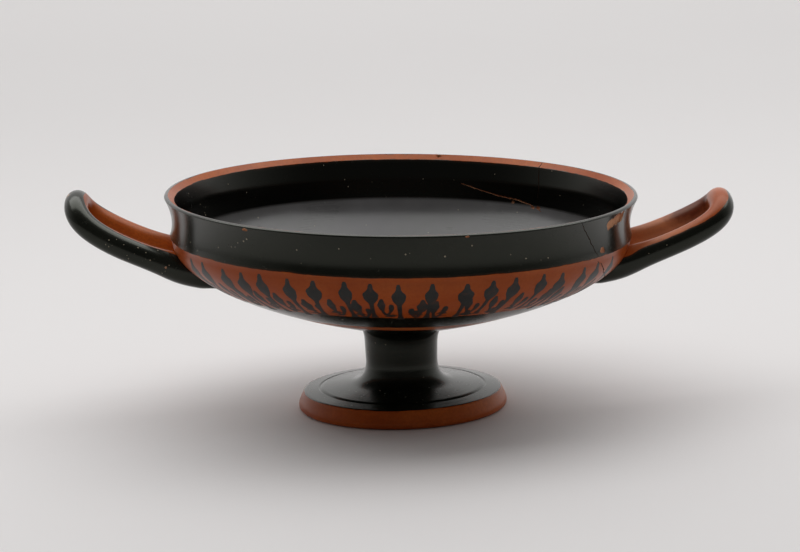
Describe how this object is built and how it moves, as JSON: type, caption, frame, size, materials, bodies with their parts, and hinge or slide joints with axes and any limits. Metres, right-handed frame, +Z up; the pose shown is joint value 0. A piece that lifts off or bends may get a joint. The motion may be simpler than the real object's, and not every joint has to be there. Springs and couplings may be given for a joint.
{
  "type": "stemmed drinking cup",
  "caption": "Wide shallow drinking cup on a short stem and disc foot, with a flaring lip and upswept loop handles, black slip with a reserved painted band.",
  "frame": {"origin": "on the surface the cup stands on, under the middle of its foot", "axes": "+X towards one handle, +Y across the handles, +Z up"},
  "size_m": [0.2539, 0.18, 0.0874],
  "materials": {
    "black_slip": "glossy black iron slip over fired orange clay, thin at the edges, scuffed, with lime specks and a few cracks; a reserved band and lines of bare clay"
  },
  "bodies": {
    "root": {"kylix_cup": "black_slip"}
  },
  "joints": []
}
